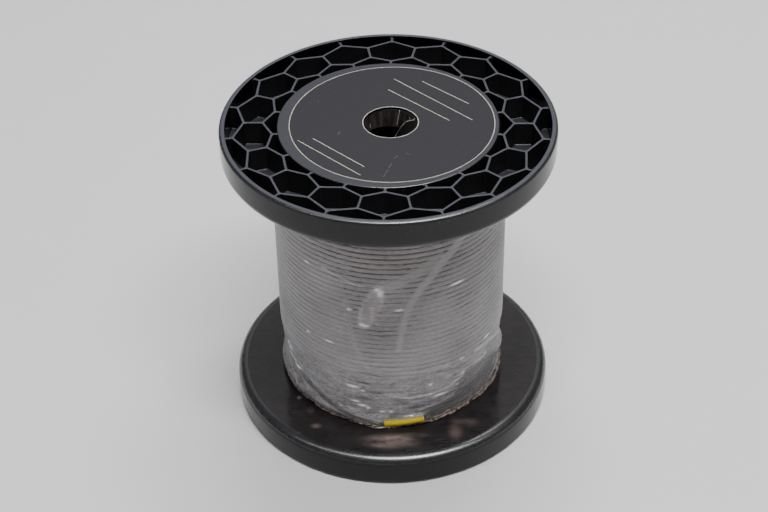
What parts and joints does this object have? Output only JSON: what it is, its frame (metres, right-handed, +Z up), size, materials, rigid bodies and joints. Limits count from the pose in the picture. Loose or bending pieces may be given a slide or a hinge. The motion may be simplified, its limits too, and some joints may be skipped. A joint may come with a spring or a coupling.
{
  "type": "fibre reel",
  "caption": "Two-flange delivery reel with honeycomb ribs, wound with jacketed optical fibre under stretch film, with a foil label over its spindle bore.",
  "frame": {"origin": "on the floor under the middle of the lower flange's rim", "axes": "+Z up along the reel's axis, from the bare lower flange to the flange with the label; +X towards the crease of the label's flap; -Y towards the side with the fibre's sleeved end"},
  "size_m": [0.125, 0.125, 0.1255],
  "materials": {
    "black_plastic": "glossy moulded black plastic",
    "fibre_jacket": "smooth dark grey jacket, greyer where it is seen through the film",
    "clear_core": "clear acrylic, cut square",
    "yellow_sleeve": "yellow marker sleeve",
    "stretch_film": "thin clear stretch film, several turns, creased",
    "label_foil": "black satin foil with cream cut edges"
  },
  "bodies": {
    "reel": {"upper_flange": "black_plastic", "lower_flange": "black_plastic", "barrel": "black_plastic", "fibre_inner_layers": "fibre_jacket", "fibre_outer_layer": "fibre_jacket", "fibre_tip": "fibre_jacket", "fibre_core": "clear_core", "end_sleeve": "yellow_sleeve", "film_wrap": "stretch_film", "label": "label_foil"},
    "flap": {"label_flap": "label_foil"}
  },
  "joints": [
    {"name": "label_flap_crease", "type": "hinge", "parent": "reel", "child": "flap", "pos_m": [0.0102, 0, 0.12505], "axis": [0, 1, 0], "range_deg": [-11, 231]}
  ]
}
